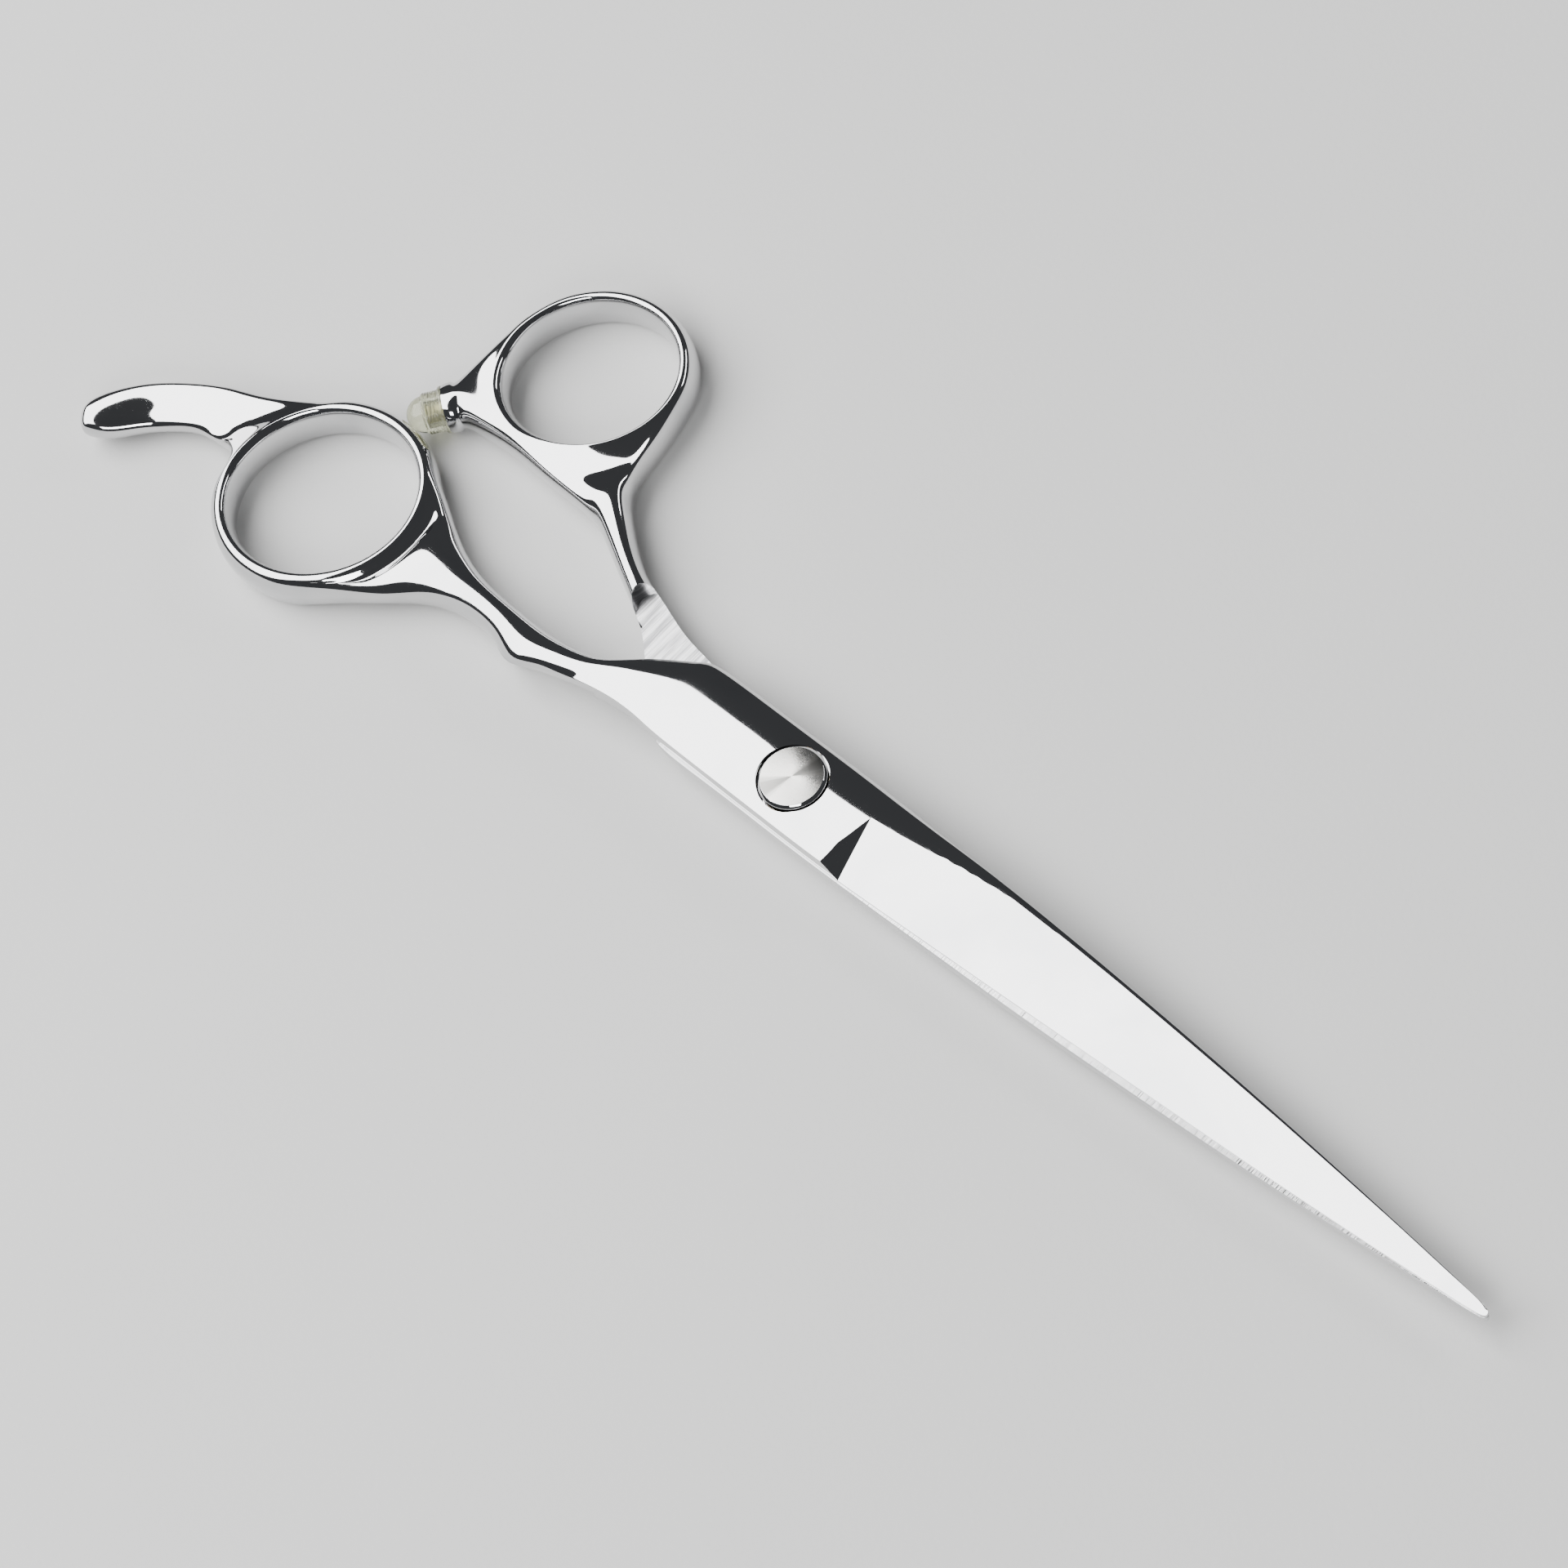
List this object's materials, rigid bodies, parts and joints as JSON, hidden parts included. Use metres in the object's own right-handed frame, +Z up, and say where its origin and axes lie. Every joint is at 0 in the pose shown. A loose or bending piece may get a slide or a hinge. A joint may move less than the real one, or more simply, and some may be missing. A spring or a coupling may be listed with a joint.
{
  "type": "hair cutting shears",
  "caption": "Closed hairdressing shears in polished steel: offset handles, finger rest, flat pivot disc over a ball thrust bearing, clear bumper.",
  "frame": {"origin": "middle of the tension screw's flat head, under the pivot, on the plane that the shears lie on", "axes": "+X from the pivot to the blade tips, +Y to the thumb ring's side, +Z up through the pivot disc"},
  "size_m": [0.1993, 0.0538, 0.0069],
  "materials": {
    "polished_steel": "mirror polish",
    "disc_steel": "spun face, polished chamfer",
    "bearing_steel": "ground",
    "spring_steel": "blued",
    "cage_brass": "stamped",
    "bush_bronze": "reamed",
    "white_nylon": "moulded",
    "stud_steel": "threaded",
    "clear_vinyl": "clear moulded"
  },
  "bodies": {
    "finger_side": {"finger_half": "polished_steel", "pivot_bush": "bush_bronze", "lower_race": "bearing_steel"},
    "thumb_side": {"thumb_half": "polished_steel", "pivot_disc": "disc_steel", "disc_spring": "spring_steel", "nylon_lock_ring": "white_nylon", "upper_race": "bearing_steel", "glide_washer": "white_nylon", "bumper_stud": "stud_steel", "bumper_cap": "clear_vinyl"},
    "ball_ring": {"ball_cage": "cage_brass", "bearing_balls": "bearing_steel"},
    "tension_adjuster": {"tension_screw": "disc_steel"}
  },
  "joints": [
    {"name": "blade_pivot", "type": "hinge", "parent": "finger_side", "child": "thumb_side", "pos_m": [0, 0, 0.0034], "axis": [0, 0, -1], "range_deg": [0, 135]},
    {"name": "ball_roll", "type": "hinge", "parent": "finger_side", "child": "ball_ring", "pos_m": [0, 0, 0.0034], "axis": [0, 0, -1], "range_deg": [0, 67.5]},
    {"name": "tension_turn", "type": "hinge", "parent": "thumb_side", "child": "tension_adjuster", "pos_m": [0, 0, 0], "axis": [0, 0, 1], "range_deg": [-90, 90]}
  ],
  "couplings": [
    {"joint": "ball_roll", "follows": "blade_pivot", "ratio": 0.5}
  ]
}
